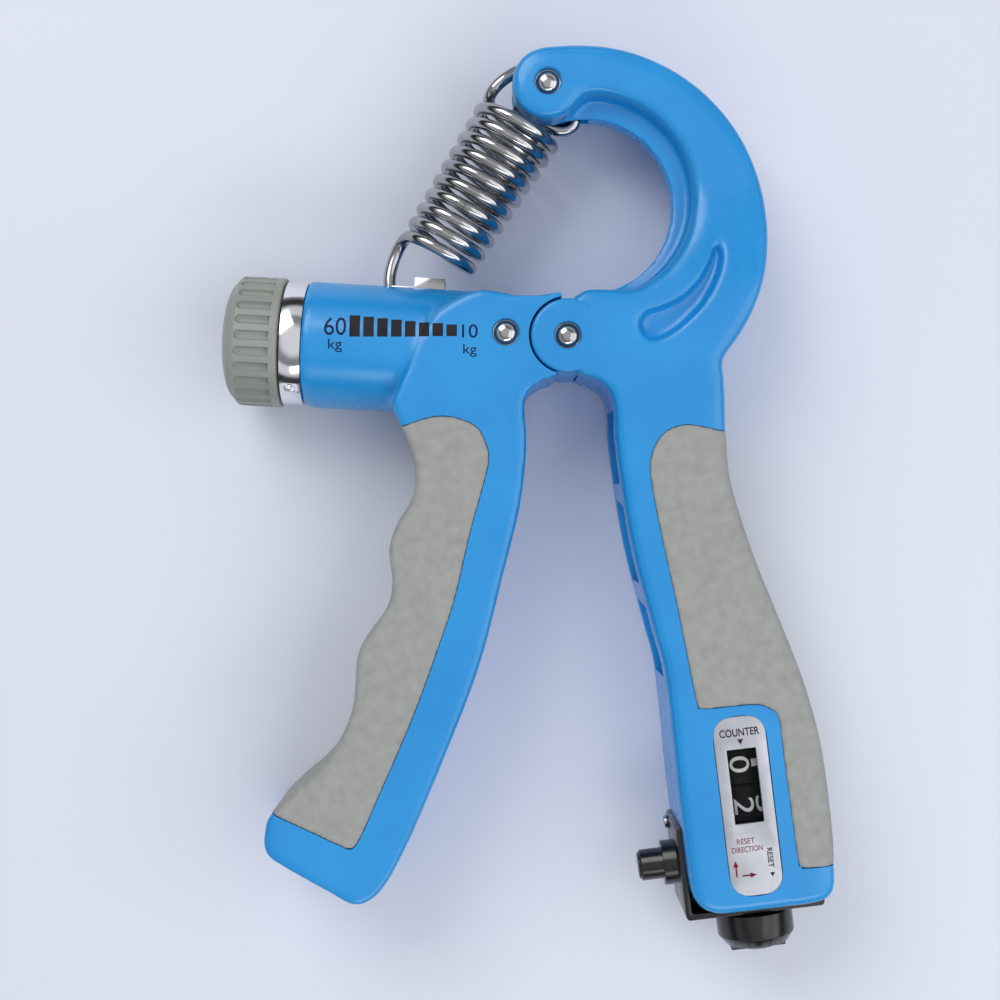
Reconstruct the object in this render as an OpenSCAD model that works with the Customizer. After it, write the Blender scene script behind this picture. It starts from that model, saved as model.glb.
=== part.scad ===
// Hand grip strengthener: two hinged handles, an adjustable tension spring and a squeeze counter.
// Millimetres. It lies on its back face with +Z up. The main hinge runs along Z at X = Y = 0.

/* [Handles] */
// Thickness of both handles and of the hinge block
body_t = 24; // [23.5:0.5:24.5]
// Thickness of the C-shaped spring arm
arm_t = 16; // [15:0.5:17]
// Wall left between a soft grip and the core under it
grip_skin = 1.6; // [1.2:0.1:2]
// Depth of the open channel in the inner edge of each handle
channel_depth = 8; // [6:0.5:9]
// Width of that channel across the thickness
channel_w = 14; // [12:0.5:15]
// Thickness of the ribs in the channels
rib_t = 1.4; // [1:0.1:2]

/* [Hinge] */
// Radius of the two ears on the right handle
ear_r = 6.4; // [6:0.1:6.4]
// Thickness of each ear
ear_t = 5.9; // [5.5:0.1:6]
// Radius of the tongue on the left handle
tongue_r = 6.6; // [6:0.1:6.6]
// Gap between the tongue or an ear and the part it turns in
hinge_gap = 0.35; // [0.3:0.05:0.5]
// Radius of the three rivets' shanks
rivet_r = 1.5; // [1.4:0.05:1.6]
// Radius of a rivet head
rivet_head_r = 2.05; // [1.9:0.05:2.1]
// Radius of the counterbore round a rivet head
counterbore_r = 2.3; // [2.2:0.05:2.4]
// Depth of that counterbore
counterbore_d = 1.3; // [1.2:0.1:1.4]

/* [Tension barrel] */
// Radius of the round barrel
barrel_r = 11.3; // [11.1:0.1:11.4]
// Fall of the barrel axis towards the hinge, in degrees
barrel_tilt = 3.3; // [3:0.1:3.6]
// Radius of the bore that the nut slides in
bore_r = 8; // [7.5:0.1:8.2]
// Length of that bore
bore_len = 31; // [30.5:0.5:31.5]
// Width of the slot along the top of the barrel
slot_w = 5; // [4.8:0.1:5.4]
// Radius of the tension screw
screw_r = 2.5; // [2.3:0.1:2.6]
// Radius of the fluted knob
knob_r = 11.55; // [11.3:0.05:11.6]
// Length of the fluted knob
knob_len = 8.6; // [8:0.1:9]
// Number of flutes round the knob
knob_flutes = 26; // [20:1:28]

/* [Spring] */
// Diameter of the spring wire
wire_d = 2.2; // [2:0.1:2.3]
// Radius of the coil at its upper end, to the middle of the wire
coil_top_r = 7.3; // [7:0.1:7.4]
// Radius of the coil at its lower end
coil_low_r = 6.4; // [6.2:0.1:7]
// Radius of the end loops, to the middle of the wire
loop_r = 7.8; // [7.6:0.1:8]
// Pitch of the coil
coil_pitch = 2.92; // [2.8:0.02:2.96]
// Radius of the bush under the upper loop
eye_r = 2.2; // [2:0.1:2.3]
// Radius of the pin under the lower loop
hook_r = 1.7; // [1.6:0.1:1.8]

/* [Counter] */
// Turn of the counter housing from the upright, in degrees
counter_tilt = 6.8; // [6:0.1:7]
// Length of the label plate
plate_l = 31; // [30:0.5:31]
// Width of the label plate
plate_w = 9.1; // [8.8:0.1:9.2]
// Radius of the digit wheels
wheel_r = 6.1; // [5.8:0.1:6.1]
// Radius of the reset knob
reset_r = 6.75; // [6.5:0.05:6.8]
// Radius of the push plunger
plunger_r = 2.75; // [2.6:0.05:2.8]

/* [Hidden] */
$fn = 64;
mid = body_t / 2;
flat_fn = 32;
skin_gap = 0.02;
running_gap = 0.05;

// Spring arm: its outer and inner circles, and the pin at its tip
arm_outer_c = [2.0, 18.4];
arm_outer_r = 33.3;
arm_inner_c = [3.4, 23.9];
arm_inner_r = 15.7;
top_pin = [-3.3, 44.9];
tip_r = 6.5;

// Inner edge of the left handle, from the hinge down
left_inner = [[-2.0, -7.1], [-4.8, -8.1], [-7.4, -11], [-7.1, -19], [-8.2, -29.3],
              [-11.2, -41.6], [-15.2, -57], [-20.9, -72], [-27, -86.5], [-30.8, -94]];
// Bottom of the left handle, from the inner corner to the outer one
left_bottom = [[-33, -97], [-36.6, -98.6], [-41, -96.4], [-50.8, -90.8], [-52.5, -88.4], [-52.2, -84]];
// Outer edge of the left handle with its finger grooves, from the bottom up to the barrel
left_outer = [[-51, -82.3], [-47.4, -78.9], [-43.2, -75.3], [-39.6, -70.4], [-37.2, -64.8], [-36.6, -59],
              [-36.1, -54.6], [-33.6, -50.4], [-31.2, -47.2], [-30.2, -43], [-30.7, -39], [-30.8, -36.4],
              [-29.4, -32.4], [-27, -28.6], [-26.2, -24.6], [-27, -19.8], [-28.9, -15.6], [-30.6, -12]];
// Top edge of the left hinge block, from the barrel to the hinge
left_top = [[-23, 4], [-19, 6.6], [-15.5, 7.9], [-12, 7.6], [-8.5, 6.9], [-4.5, 7], [-1.1, 7.6]];
// Edge of the left soft grip on the front face, from its outer top down the inner side to its outer bottom
left_grip_edge = [[-28.4, -15.6], [-24, -14.2], [-20.3, -14], [-16, -15.6], [-14.1, -18.6], [-13.6, -21.8],
                  [-15, -27.6], [-16.9, -34.5], [-19.3, -44.8], [-21.6, -52], [-26.5, -65.5],
                  [-32.4, -79.2], [-35.6, -86.4], [-37.3, -88.6], [-39.4, -88], [-44.1, -85.8], [-52, -82.2]];

// Inner edge of the right handle, from the hinge down to the counter housing
right_inner = [[1.4, -6.6], [4.4, -7.4], [7, -9.2], [8.2, -12.6], [8.3, -18], [10.9, -35.4],
               [15, -51.5], [17, -59.5], [19.3, -79.4]];
// Outer edge of the right handle, from the neck down to the counter housing
right_outer = [[26.7, -4.4], [27.2, -8], [27.4, -13], [27.7, -22], [28.9, -27.8], [32.3, -38.2],
               [36.6, -48.8], [40.6, -59], [43.4, -68.5], [44.9, -77], [46, -87]];
// Edge of the right soft grip on the front face, from its outer top down the inner side
right_grip_edge = [[32, -17], [26.5, -16.4], [20.3, -15.4], [16.2, -17.2], [14.2, -21.5], [14.6, -27],
                   [16.6, -37], [18.8, -47], [21.4, -60]];
// The same edge round the counter housing, in counter coordinates
right_grip_housing = [[-6.6, 17.6], [-4, 17.3], [3.2, 17.1], [5.8, 16], [7, 14.2], [7.1, 7.3], [7.4, -9.6],
                      [7.8, -11.4], [9.2, -12], [19, -12.1]];
// Teardrop groove where the arm meets the handle
groove_edge = [[26.4, 16.4], [25.4, 13.2], [23.7, 10.1], [20.4, 6.6], [16.4, 4.8], [13.4, 4],
               [12.4, 1.8], [13.6, -0.5], [16.4, -0.2], [20.4, 2.8], [22.8, 5.7], [24.8, 9.4]];

// Barrel: its end face centre in plan
barrel_end = [-46.3, -0.47];
bearing_r = 5.5;
bearing_z = [31, 38.4];
slot_z = [1.6, 30.5];
barrel_len = 30;
anchor = [-10.7, 0.5];
collar_r = 11.05;
collar_len = 3.6;
knob_z = -collar_len - 0.4;

// Spring line: from the top pin to the hook pin
hook_pin_xy = [-26.6, 7.6];
pin_span = norm(hook_pin_xy - top_pin);
spring_dir = (hook_pin_xy - top_pin) / pin_span;
spring_angle = atan2(spring_dir.y, spring_dir.x);
upper_loop_s = loop_r - wire_d / 2 - eye_r - running_gap;
lower_loop_s = pin_span - (loop_r - wire_d / 2 - hook_r - running_gap);
// Distances along the line to the start of the coil, and across it from the line to the axis of the coil
coil_from_s = 7.9;
coil_shift = -1.2;
coil_turns = 9;

// Counter: its centre in plan, and heights and places in its own coordinates
counter_c = [31, -81.1];
arbor_z = 14.9;
arbor_r = 1;
housing_in = -11.5;
housing_out = 13.9;
housing_bottom = -18.5;
cover_t = 1;
cover_screw_y = -5.1;
cover_screw_z = 5.6;
cover_foot_x = [-10.4, 10.3];
plunger_y = -10.9;
plunger_tip = -19.3;
units_y = -0.6;
tens_y = 6.7;
wheel_w = 6.9;
ratchet_r = 4.6;
cavity = [[-9.4, -19], [9, 12.6]];
cavity_z = [2.5, 21.4];

// ---- Helpers ----

function catmull(a, b, c, d, t) =
    0.5 * (2 * b + (c - a) * t + (2 * a - 5 * b + 4 * c - d) * t * t + (3 * b - a - 3 * c + d) * t * t * t);

// A smooth open curve through the points p, with n steps between neighbours
function curve(p, n = 4) = concat(
    [for (i = [0 : len(p) - 2], k = [0 : n - 1])
        catmull(p[max(i - 1, 0)], p[i], p[i + 1], p[min(i + 2, len(p) - 1)], k / n)],
    [p[len(p) - 1]]);

// A smooth closed curve through the points p
function loop_curve(p, n = 4) = [for (i = [0 : len(p) - 1], k = [0 : n - 1])
    catmull(p[(i + len(p) - 1) % len(p)], p[i], p[(i + 1) % len(p)], p[(i + 2) % len(p)], k / n)];

function reversed(p) = [for (i = [len(p) - 1 : -1 : 0]) p[i]];
function shifted(p, by) = [for (q = p) q + by];
function turned(p, a) = [for (q = p) [q.x * cos(a) - q.y * sin(a), q.x * sin(a) + q.y * cos(a)]];
function smooth(t) = t <= 0 ? 0 : t >= 1 ? 1 : t * t * (3 - 2 * t);

// The counter's coordinates: Y runs up the handle, X away from the hand gap
module in_counter() {
    translate([counter_c.x, counter_c.y, 0]) rotate([0, 0, counter_tilt]) children();
}

// A cylinder along the counter's X, from x = from to x = to
module rod_x(from, to, y, z, r) {
    translate([from, y, z]) rotate([0, 90, 0]) cylinder(h = to - from, r = r);
}

// A cylinder along the counter's Y, from y = from to y = to
module rod_y(from, to, x, z, r) {
    translate([x, from, z]) rotate([-90, 0, 0]) cylinder(h = to - from, r = r);
}

// The barrel's coordinates: Z runs along the barrel to the hinge, X is up the plan, Y is depth
module in_barrel() {
    translate([barrel_end.x, barrel_end.y, mid]) rotate([0, 0, -barrel_tilt]) rotate([0, 90, 0])
        rotate([0, 0, 90]) children();
}

module box(lo, hi) {
    translate(lo) cube(hi - lo);
}

// Hole and counterbores for a rivet that runs from z = low to z = high
module rivet_hole(at, low, high) {
    translate([at.x, at.y, low - 1]) cylinder(h = high - low + 2, r = rivet_r);
    translate([at.x, at.y, low - 1]) cylinder(h = counterbore_d + 1, r = counterbore_r);
    translate([at.x, at.y, high - counterbore_d]) cylinder(h = counterbore_d + 1, r = counterbore_r);
}

// A rivet with a domed head at both ends, sunk just below the faces at z = low and z = high
module rivet(at, low, high) {
    rise = 0.45;
    seat = rise - counterbore_d;
    profile = [[0, 0.35], [1.1, 0.2], [1.8, -0.25], [rivet_head_r, -0.7], [rivet_head_r, seat], [0, seat]];
    color("silver") translate([at.x, at.y, 0]) union() {
        translate([0, 0, high - rise]) rotate_extrude() polygon(profile);
        translate([0, 0, low + rise]) mirror([0, 0, 1]) rotate_extrude() polygon(profile);
        translate([0, 0, low + counterbore_d - 0.2]) cylinder(h = high - low - 2 * counterbore_d + 0.4, r = rivet_r);
    }
}

// ---- Plan shapes ----

module arm_plan() {
    difference() {
        translate(arm_outer_c) circle(arm_outer_r, $fn = 180);
        translate(arm_inner_c) circle(arm_inner_r, $fn = 128);
        polygon([[top_pin.x, 60], [-40, 60], [-40, -20], [50, -20], [50, -4.4], [2, -4.4], [2, 12],
                 [arm_inner_c.x, arm_inner_c.y], [top_pin.x, 36]]);
    }
    translate(top_pin) circle(tip_r);
}

module housing_corners() {
    offset(r = 3, $fn = flat_fn) offset(delta = -3)
        polygon([[housing_in, 20], [housing_in, housing_bottom], [housing_out - 0.4, housing_bottom],
                 [housing_out, 20]]);
}

module right_plan() {
    polygon(concat(curve(right_outer), [turned([[housing_out, -8]], counter_tilt)[0] + counter_c],
                   [turned([[housing_in, -8]], counter_tilt)[0] + counter_c], reversed(curve(right_inner)),
                   [[0, 0], [1, 5.6], [2.1, 7.4], [3.5, 8.1], [12, 8], [26, -2]]));
    translate(counter_c) rotate(counter_tilt) intersection() {
        housing_corners();
        translate([-30, -30]) square([60, 30]);
    }
    circle(ear_r);
}

module left_plan() {
    polygon(concat(curve(left_inner), curve(left_bottom, 3), curve(left_outer), curve(left_top), [[0, 0]]));
}

module left_grip_plan() {
    polygon(concat(curve(left_grip_edge), [[-60, -82], [-60, -15.6]]));
}

module right_grip_plan() {
    polygon(concat(curve(right_grip_edge), shifted(turned(curve(right_grip_housing), counter_tilt), counter_c),
                   [[60, -80], [60, -17]]));
}

// ---- Right handle ----

// Thickness of the arm and block, in steps from the thin tip to the full block
module right_solid() {
    translate([0, 0, (body_t - arm_t) / 2]) linear_extrude(arm_t) arm_plan();
    translate([0, 0, 2]) linear_extrude(body_t - 4) intersection() {
        arm_plan();
        translate([0, -10]) square([60, 26]);
    }
    linear_extrude(body_t) intersection() {
        union() {
            arm_plan();
            right_plan();
        }
        translate([-20, -120]) square([80, 128]);
    }
}

module right_core() {
    translate([0, 0, grip_skin]) linear_extrude(body_t - 2 * grip_skin)
        offset(delta = -grip_skin) right_plan();
}

module right_ribs() {
    for (p = [[10, -27.6], [12.6, -44], [16, -60]])
        translate([p.x, p.y, 0]) rotate(-52) translate([-6, -rib_t / 2, 0]) cube([24, rib_t, body_t]);
}

module right_channel() {
    low = (body_t - channel_w) / 2;
    edge = [for (i = [3 : len(right_inner) - 2]) right_inner[i]];
    difference() {
        translate([0, 0, low]) linear_extrude(channel_w)
            polygon(concat(shifted(curve(edge), [-3, 0.5]), reversed(shifted(curve(edge), [channel_depth, -1.5]))));
        right_ribs();
    }
}

module counter_cavity() {
    in_counter() {
        box([cavity[0].x, cavity[0].y, cavity_z[0]], [cavity[1].x, cavity[1].y, cavity_z[1]]);
        // Window in the inner wall for the plunger and its pawl
        box([housing_in - 3, -14.8, 7.4], [cavity[0].x + 1, -4.9, 16.6]);
        // Window under the label plate, and the plate's recess
        box([-3.2, -3.6, cavity_z[1] - 1], [3.2, 10.4, body_t]);
        translate([0, 0, body_t - 0.9]) linear_extrude(1.5) plate_outline(0.1);
        // Screw holes of the cover
        rod_x(housing_in - 1, -9.6, cover_screw_y, cover_screw_z, 0.8);
        for (x = cover_foot_x) rod_y(housing_bottom - 1, -12.5, x, cover_screw_z, 0.8);
    }
}

module right_shell() color("dodgerblue") difference() {
    right_solid();
    // Room for the tongue, and the main hinge rivet
    translate([0, 0, ear_t]) cylinder(h = body_t - 2 * ear_t, r = tongue_r + hinge_gap);
    rivet_hole([0, 0], 0, body_t);
    rivet_hole(top_pin, (body_t - arm_t) / 2, (body_t + arm_t) / 2);
    // Room for the upper loop of the spring
    spring_slot();
    right_channel();
    counter_cavity();
    right_grip_pocket();
    translate([0, 0, body_t - 3.5]) linear_extrude(5) polygon(loop_curve(groove_edge, 3));
}

module spring_slot() {
    c = top_pin + upper_loop_s * spring_dir;
    translate([c.x, c.y, mid - 1.5]) cylinder(h = 3, r = loop_r + wire_d / 2 + 1);
    // Flat on the tip's back half, clear of the first turns of the coil
    translate([top_pin.x, top_pin.y, 0]) rotate([0, 0, spring_angle])
        box([4.9, -8, 0], [20, 8, mid - 3.4]);
}

module right_grip_pocket() {
    difference() {
        translate([0, 0, -1]) linear_extrude(body_t + 2) right_grip_plan();
        right_core();
    }
}

module right_grip() color("darkgray") difference() {
    linear_extrude(body_t) intersection() {
        right_plan();
        offset(delta = -skin_gap) right_grip_plan();
    }
    translate([0, 0, grip_skin - skin_gap]) linear_extrude(body_t - 2 * (grip_skin - skin_gap))
        offset(delta = skin_gap - grip_skin) right_plan();
}

module pivot_rivet() rivet([0, 0], 0, body_t);

module top_rivet() rivet(top_pin, (body_t - arm_t) / 2, (body_t + arm_t) / 2);

// ---- Left handle ----

module left_ribs() {
    for (p = [[-8, -22], [-9.4, -33], [-12, -44], [-15, -55], [-18.6, -66], [-23.6, -77.4]])
        translate([p.x, p.y, 0]) rotate(60) translate([-12, -rib_t / 2, 0]) cube([24, rib_t, body_t]);
}

module left_channel() {
    low = (body_t - channel_w) / 2;
    edge = [for (i = [3 : len(left_inner) - 2]) left_inner[i]];
    difference() {
        translate([0, 0, low]) linear_extrude(channel_w)
            polygon(concat(shifted(curve(edge), [3, -0.5]), reversed(shifted(curve(edge), [-channel_depth, 2]))));
        left_ribs();
    }
}

module left_core() {
    translate([0, 0, grip_skin]) linear_extrude(body_t - 2 * grip_skin)
        offset(delta = -grip_skin) left_plan();
}

module left_solid() {
    difference() {
        linear_extrude(body_t) left_plan();
        translate([0, 0, -1]) cylinder(h = body_t + 2, r = ear_r + hinge_gap);
    }
    low = ear_t + hinge_gap;
    translate([0, 0, low]) linear_extrude(body_t - 2 * low) {
        intersection() {
            left_plan();
            circle(ear_r + 2);
        }
        circle(tongue_r);
    }
    in_barrel() cylinder(h = barrel_len, r = barrel_r, $fn = 96);
}

module barrel_bores() {
    in_barrel() {
        translate([0, 0, -1]) cylinder(h = bore_len + 1, r = bore_r);
        cylinder(h = bearing_z[1], r = bearing_r);
        box([4, -slot_w / 2, slot_z[0]], [16, slot_w / 2, slot_z[1]]);
    }
}

module left_shell() color("dodgerblue") difference() {
    left_solid();
    barrel_bores();
    left_channel();
    rivet_hole(anchor, 0, body_t);
    translate([0, 0, -1]) cylinder(h = body_t + 2, r = rivet_r + 0.8);
    difference() {
        translate([0, 0, -1]) linear_extrude(body_t + 2) left_grip_plan();
        left_core();
        in_barrel() translate([0, 0, -1]) cylinder(h = 40, r = barrel_r);
    }
}

module left_grip() color("darkgray") difference() {
    linear_extrude(body_t) intersection() {
        left_plan();
        offset(delta = -skin_gap) left_grip_plan();
    }
    translate([0, 0, grip_skin - skin_gap]) linear_extrude(body_t - 2 * (grip_skin - skin_gap))
        offset(delta = skin_gap - grip_skin) left_plan();
    in_barrel() translate([0, 0, -1]) cylinder(h = 40, r = barrel_r + skin_gap);
}

module pivot_bush() color("goldenrod") translate([0, 0, ear_t + hinge_gap]) difference() {
    cylinder(h = body_t - 2 * (ear_t + hinge_gap), r = rivet_r + 0.8);
    translate([0, 0, -1]) cylinder(h = body_t, r = rivet_r + running_gap);
}

module anchor_rivet() rivet(anchor, 0, body_t);

// Block that holds the inner end of the tension screw
module screw_bearing() color("gray") difference() {
    in_barrel() difference() {
        translate([0, 0, bearing_z[0] + 0.1]) cylinder(h = bearing_z[1] - bearing_z[0] - 0.1, r = bearing_r);
        translate([0, 0, bearing_z[0] - 1]) cylinder(h = 3.4, r = rivet_r + running_gap);
    }
    translate([anchor.x, anchor.y, 0]) cylinder(h = body_t, r = rivet_r);
}

module barrel_collar() color("silver") in_barrel() difference() {
    union() {
        translate([0, 0, -collar_len]) cylinder(h = collar_len, r = collar_r, $fn = 96);
        translate([0, 0, -0.1]) cylinder(h = 2.3, r = bore_r - running_gap);
    }
    translate([0, 0, -collar_len - 1]) cylinder(h = 8, r = screw_r + running_gap);
    // Recess for the thrust washer
    translate([0, 0, -collar_len - 1]) cylinder(h = 1.7, r = 5.2);
    // Small dimple on the rim
    translate([-8.4, 7.1, -collar_len / 2]) sphere(r = 0.9, $fn = 24);
}

// ---- Load setting: screw, knob and nut ----

module thrust_washer() color("gray") in_barrel() translate([0, 0, -collar_len + 0.02]) difference() {
    cylinder(h = 0.66, r = 5);
    translate([0, 0, -1]) cylinder(h = 3, r = screw_r + running_gap);
}

module tension_screw() color("gray") in_barrel() difference() {
    union() {
        translate([0, 0, -9.6]) cylinder(h = 40.2, r = screw_r);
        translate([0, 0, 30]) cylinder(h = 3.1, r = rivet_r);
        // Collar that takes the pull of the spring
        translate([0, 0, 2.25]) cylinder(h = 1.1, r = 4);
    }
    translate([0, 0, -10]) cylinder(h = 5.4, r = 1);
}

module tension_knob() color("darkgray") in_barrel() difference() {
    translate([0, 0, knob_z - knob_len]) cylinder(h = knob_len, r = knob_r, $fn = 96);
    // Flutes: open at the dome end, closed by a plain rim at the collar end
    for (i = [0 : knob_flutes - 1]) rotate(i * 360 / knob_flutes)
        translate([knob_r - 0.7, -0.7, knob_z - knob_len + 1.2]) cube([2, 1.4, knob_len - 2.5]);
    translate([0, 0, knob_z - knob_len - 1]) cylinder(h = 20, r = screw_r);
    // Pocket for the fixing screw's head
    translate([0, 0, knob_z - knob_len - 1]) cylinder(h = 3.6, r = 5);
}

module knob_screw() color("silver") in_barrel() translate([0, 0, -11.3]) {
    cylinder(h = 1.7, r = 2.4);
    cylinder(h = 6, r = 1);
}

module knob_cap() color("darkgray") in_barrel() translate([0, 0, knob_z - knob_len]) {
    rotate_extrude($fn = 96) polygon(concat([[0, -0.02]],
        [for (a = [0 : 7.5 : 90]) [0.1 + 10.4 * cos(a), -0.02 - 2.2 * sin(a)]]));
    translate([0, 0, -1]) cylinder(h = 2, r = 5);
}

// Threaded block with two cheeks that stand up through the barrel's slot
module travelling_nut() color("silver") in_barrel() difference() {
    union() {
        box([-5, -4, 14.6], [3.3, 4, 24.2]);
        box([3, -2.2, 14.6], [11.2, 2.2, 24.2]);
        box([11, -2.2, 18.7], [12.9, 2.2, 24.1]);
    }
    box([3.2, -1.4, 14], [13.5, 1.4, 25]);
    translate([0, 0, 14]) cylinder(h = 12, r = screw_r + running_gap);
    hook_pin_shape(1);
}

module hook_pin_shape(extra) {
    // The pin's place in the barrel's own coordinates
    d = hook_pin_xy - barrel_end;
    translate([d.y * cos(barrel_tilt) + d.x * sin(barrel_tilt), 0, d.x * cos(barrel_tilt) - d.y * sin(barrel_tilt)])
        rotate([90, 0, 0]) cylinder(h = 4.4 + extra, r = hook_r, center = true);
}

module hook_pin() color("gray") in_barrel() hook_pin_shape(0);

// ---- Spring ----

// The wire runs in spring coordinates: X along the spring, Y across it in plan, Z depth.
// Angle a counts along the wire: the coil starts at 0, and the upper loop lies below -180.
lower_a = 360 * coil_turns;
blend_turn = 50;
// Free end of the upper loop, folded in under the arm's tip
upper_tail = [[4.9, -3.5], [5, 1], [4.9, 4.4], [4.1, 6.4], [2.4, 7.2], [0.6, 6.4]];

function coil_r(a) = coil_top_r + (coil_low_r - coil_top_r) * min(max(a / lower_a, 0), 1);
function coil_point(a) = [coil_from_s + coil_pitch * a / 360, coil_r(a) * cos(a) + coil_shift, coil_r(a) * sin(a)];
function loop_point(s, shift, a) = [s - loop_r * sin(a), loop_r * cos(a) + shift, 0];
function mix(a, b, t) = a + (b - a) * smooth(t);
function wire_point(a) = a < lower_a / 2
    ? mix(loop_point(upper_loop_s, -0.5, a), coil_point(a), (a + 180 + blend_turn) / (2 * blend_turn))
    : mix(coil_point(a), loop_point(lower_loop_s, 0, a), (a - lower_a - 180 + blend_turn) / (2 * blend_turn));

wire_path = concat([for (q = curve(upper_tail, 3)) [q.x, q.y, 0]],
                   [for (a = [-315 : 15 : lower_a + 325]) wire_point(a)]);

// The stretch of wire between two points of the path, counted as fractions of its length
module wire(from, to, sides = 8) {
    first = round(from * (len(wire_path) - 1));
    last = round(to * (len(wire_path) - 1));
    path = [for (i = [first : last]) wire_path[i]];
    n = last - first;
    function dir(i) = path[min(i + 1, n)] - path[max(i - 1, 0)];
    // Each ring's first axis leans away from the spring's axis, and its second is square to that
    rings = [for (i = [0 : n]) let (
        t = dir(i) / norm(dir(i)),
        out = [0.4, path[i].y, path[i].z + 0.01],
        v = cross(t, out) / norm(cross(t, out)),
        w = cross(v, t))
        for (k = [0 : sides - 1])
            path[i] + wire_d / 2 * (cos(360 * k / sides) * w + sin(360 * k / sides) * v)];
    walls = [for (i = [0 : n - 1], k = [0 : sides - 1])
        [i * sides + k, (i + 1) * sides + k, (i + 1) * sides + (k + 1) % sides, i * sides + (k + 1) % sides]];
    first_end = [[for (k = [0 : sides - 1]) k]];
    last_end = [[for (k = [sides - 1 : -1 : 0]) n * sides + k]];
    translate([top_pin.x, top_pin.y, mid]) rotate([0, 0, spring_angle])
        polyhedron(points = rings, faces = concat(walls, first_end, last_end));
}

// Places where the wire is shared out between its three moving stretches
upper_cut = 0.16;
lower_cut = 0.66;
cut_gap = 0.004;

module spring_upper() color("silver") wire(0, upper_cut);
module spring_middle() color("silver") wire(upper_cut + cut_gap, lower_cut);
module spring_lower() color("silver") wire(lower_cut + cut_gap, 1);

module spring_eye_bush() color("gray") translate([top_pin.x, top_pin.y, mid - 1.2]) difference() {
    cylinder(h = 2.4, r = eye_r);
    translate([0, 0, -1]) cylinder(h = 5, r = rivet_r + running_gap);
}

// ---- Counter ----

module plate_outline(grow) {
    r = 3.1 + grow;
    hull() for (x = [-1, 1], y = [-1, 1])
        translate([x * (plate_w / 2 - 3.1), y * (plate_l / 2 - 3.1)]) circle(r, $fn = flat_fn);
}

module label_plate() color("gainsboro") in_counter() translate([0, 0, body_t - 0.85]) linear_extrude(0.75)
    difference() {
        plate_outline(0);
        translate([-2.53, -3.05]) square([5.05, 12.9]);
    }

module window_lens() color([0.8, 0.9, 1, 0.4]) in_counter()
    box([-3.1, -3.5, body_t - 1.7], [3.1, 10.3, body_t - 0.95]);

module counter_cover() color("black") in_counter() difference() {
    union() {
        translate([0, 0, 3.5]) linear_extrude(body_t - 7) difference() {
            offset(r = 0.8, $fn = flat_fn) offset(delta = -0.8)
                polygon([[housing_in - cover_t, -3.3], [housing_in - cover_t, housing_bottom - cover_t],
                         [11.8, housing_bottom - cover_t], [11.8, 0], [0, 0], [0, -3.3]]);
            translate([housing_in, housing_bottom]) offset(r = 0.6, $fn = flat_fn) offset(delta = -0.6)
                square([40, 40]);
        }
        rod_x(housing_in - cover_t - 2.4, housing_in - cover_t + 0.5, plunger_y, mid, 3.95);
    }
    rod_x(housing_in - 5, 0, plunger_y, mid, plunger_r + running_gap);
    rod_y(housing_bottom - 3, housing_bottom + 1, 0, arbor_z, arbor_r + running_gap);
    rod_x(housing_in - 3, housing_in + 1, cover_screw_y, cover_screw_z, 0.8);
    for (x = cover_foot_x) rod_y(housing_bottom - 3, housing_bottom + 1, x, cover_screw_z, 0.8);
}

module cover_screws() color("dimgray") in_counter() {
    rod_x(housing_in - cover_t, -9.7, cover_screw_y, cover_screw_z, 0.8);
    rod_x(housing_in - cover_t - 0.7, housing_in - cover_t, cover_screw_y, cover_screw_z, 1.2);
    for (x = cover_foot_x) {
        rod_y(housing_bottom - cover_t, -12.6, x, cover_screw_z, 0.8);
        rod_y(housing_bottom - cover_t - 0.7, housing_bottom - cover_t, x, cover_screw_z, 1.2);
    }
}

// Open frame in the housing that carries the arbor and guides the plunger's rod
module counter_frame() color("dimgray") in_counter() difference() {
    union() {
        box([-9.3, -18.4, 2.6], [8.9, 12.5, 4.4]);
        box([-7, 10.7, 4], [7, 12.5, 20.6]);
        box([-7, -18.4, 4], [7, -16.6, 20.6]);
        box([-2.6, -13.4, 4], [-1.2, -8.4, mid + 1.7]);
    }
    rod_y(-20, 15, 0, arbor_z, arbor_r + running_gap);
    rod_x(-4, 0, plunger_y, mid, 1.2 + running_gap);
}

module digit_wheel(y, bore) {
    difference() {
        rod_y(y - wheel_w / 2, y + wheel_w / 2, 0, arbor_z, wheel_r);
        // Hollow inside, with a hub and a web
        for (side = [-1, 1]) difference() {
            rod_y(y + side * wheel_w / 2 - 2.4, y + side * wheel_w / 2 + 2.4, 0, arbor_z, wheel_r - 1);
            rod_y(y - wheel_w, y + wheel_w, 0, arbor_z, bore + 1.2);
        }
        rod_y(y - wheel_w, y + wheel_w, 0, arbor_z, bore);
    }
}

module units_wheel() color("black") in_counter() {
    digit_wheel(units_y, arbor_r + running_gap);
    // Ratchet with ten teeth on the end nearer the plunger
    translate([0, units_y - wheel_w / 2 + 0.3, arbor_z]) rotate([90, 0, 0]) linear_extrude(1.6) difference() {
        polygon([for (i = [0 : 9], tip = [0, 1])
            (tip == 0 ? ratchet_r - 1 : ratchet_r) * [cos(36 * i + 28 * tip), sin(36 * i + 28 * tip)]]);
        circle(arbor_r + running_gap);
    }
}

module tens_wheel() color("black") in_counter() digit_wheel(tens_y, arbor_r + running_gap);

module reset_arbor() color("silver") in_counter() rod_y(-25.4, 12.6, 0, arbor_z, arbor_r);

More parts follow.
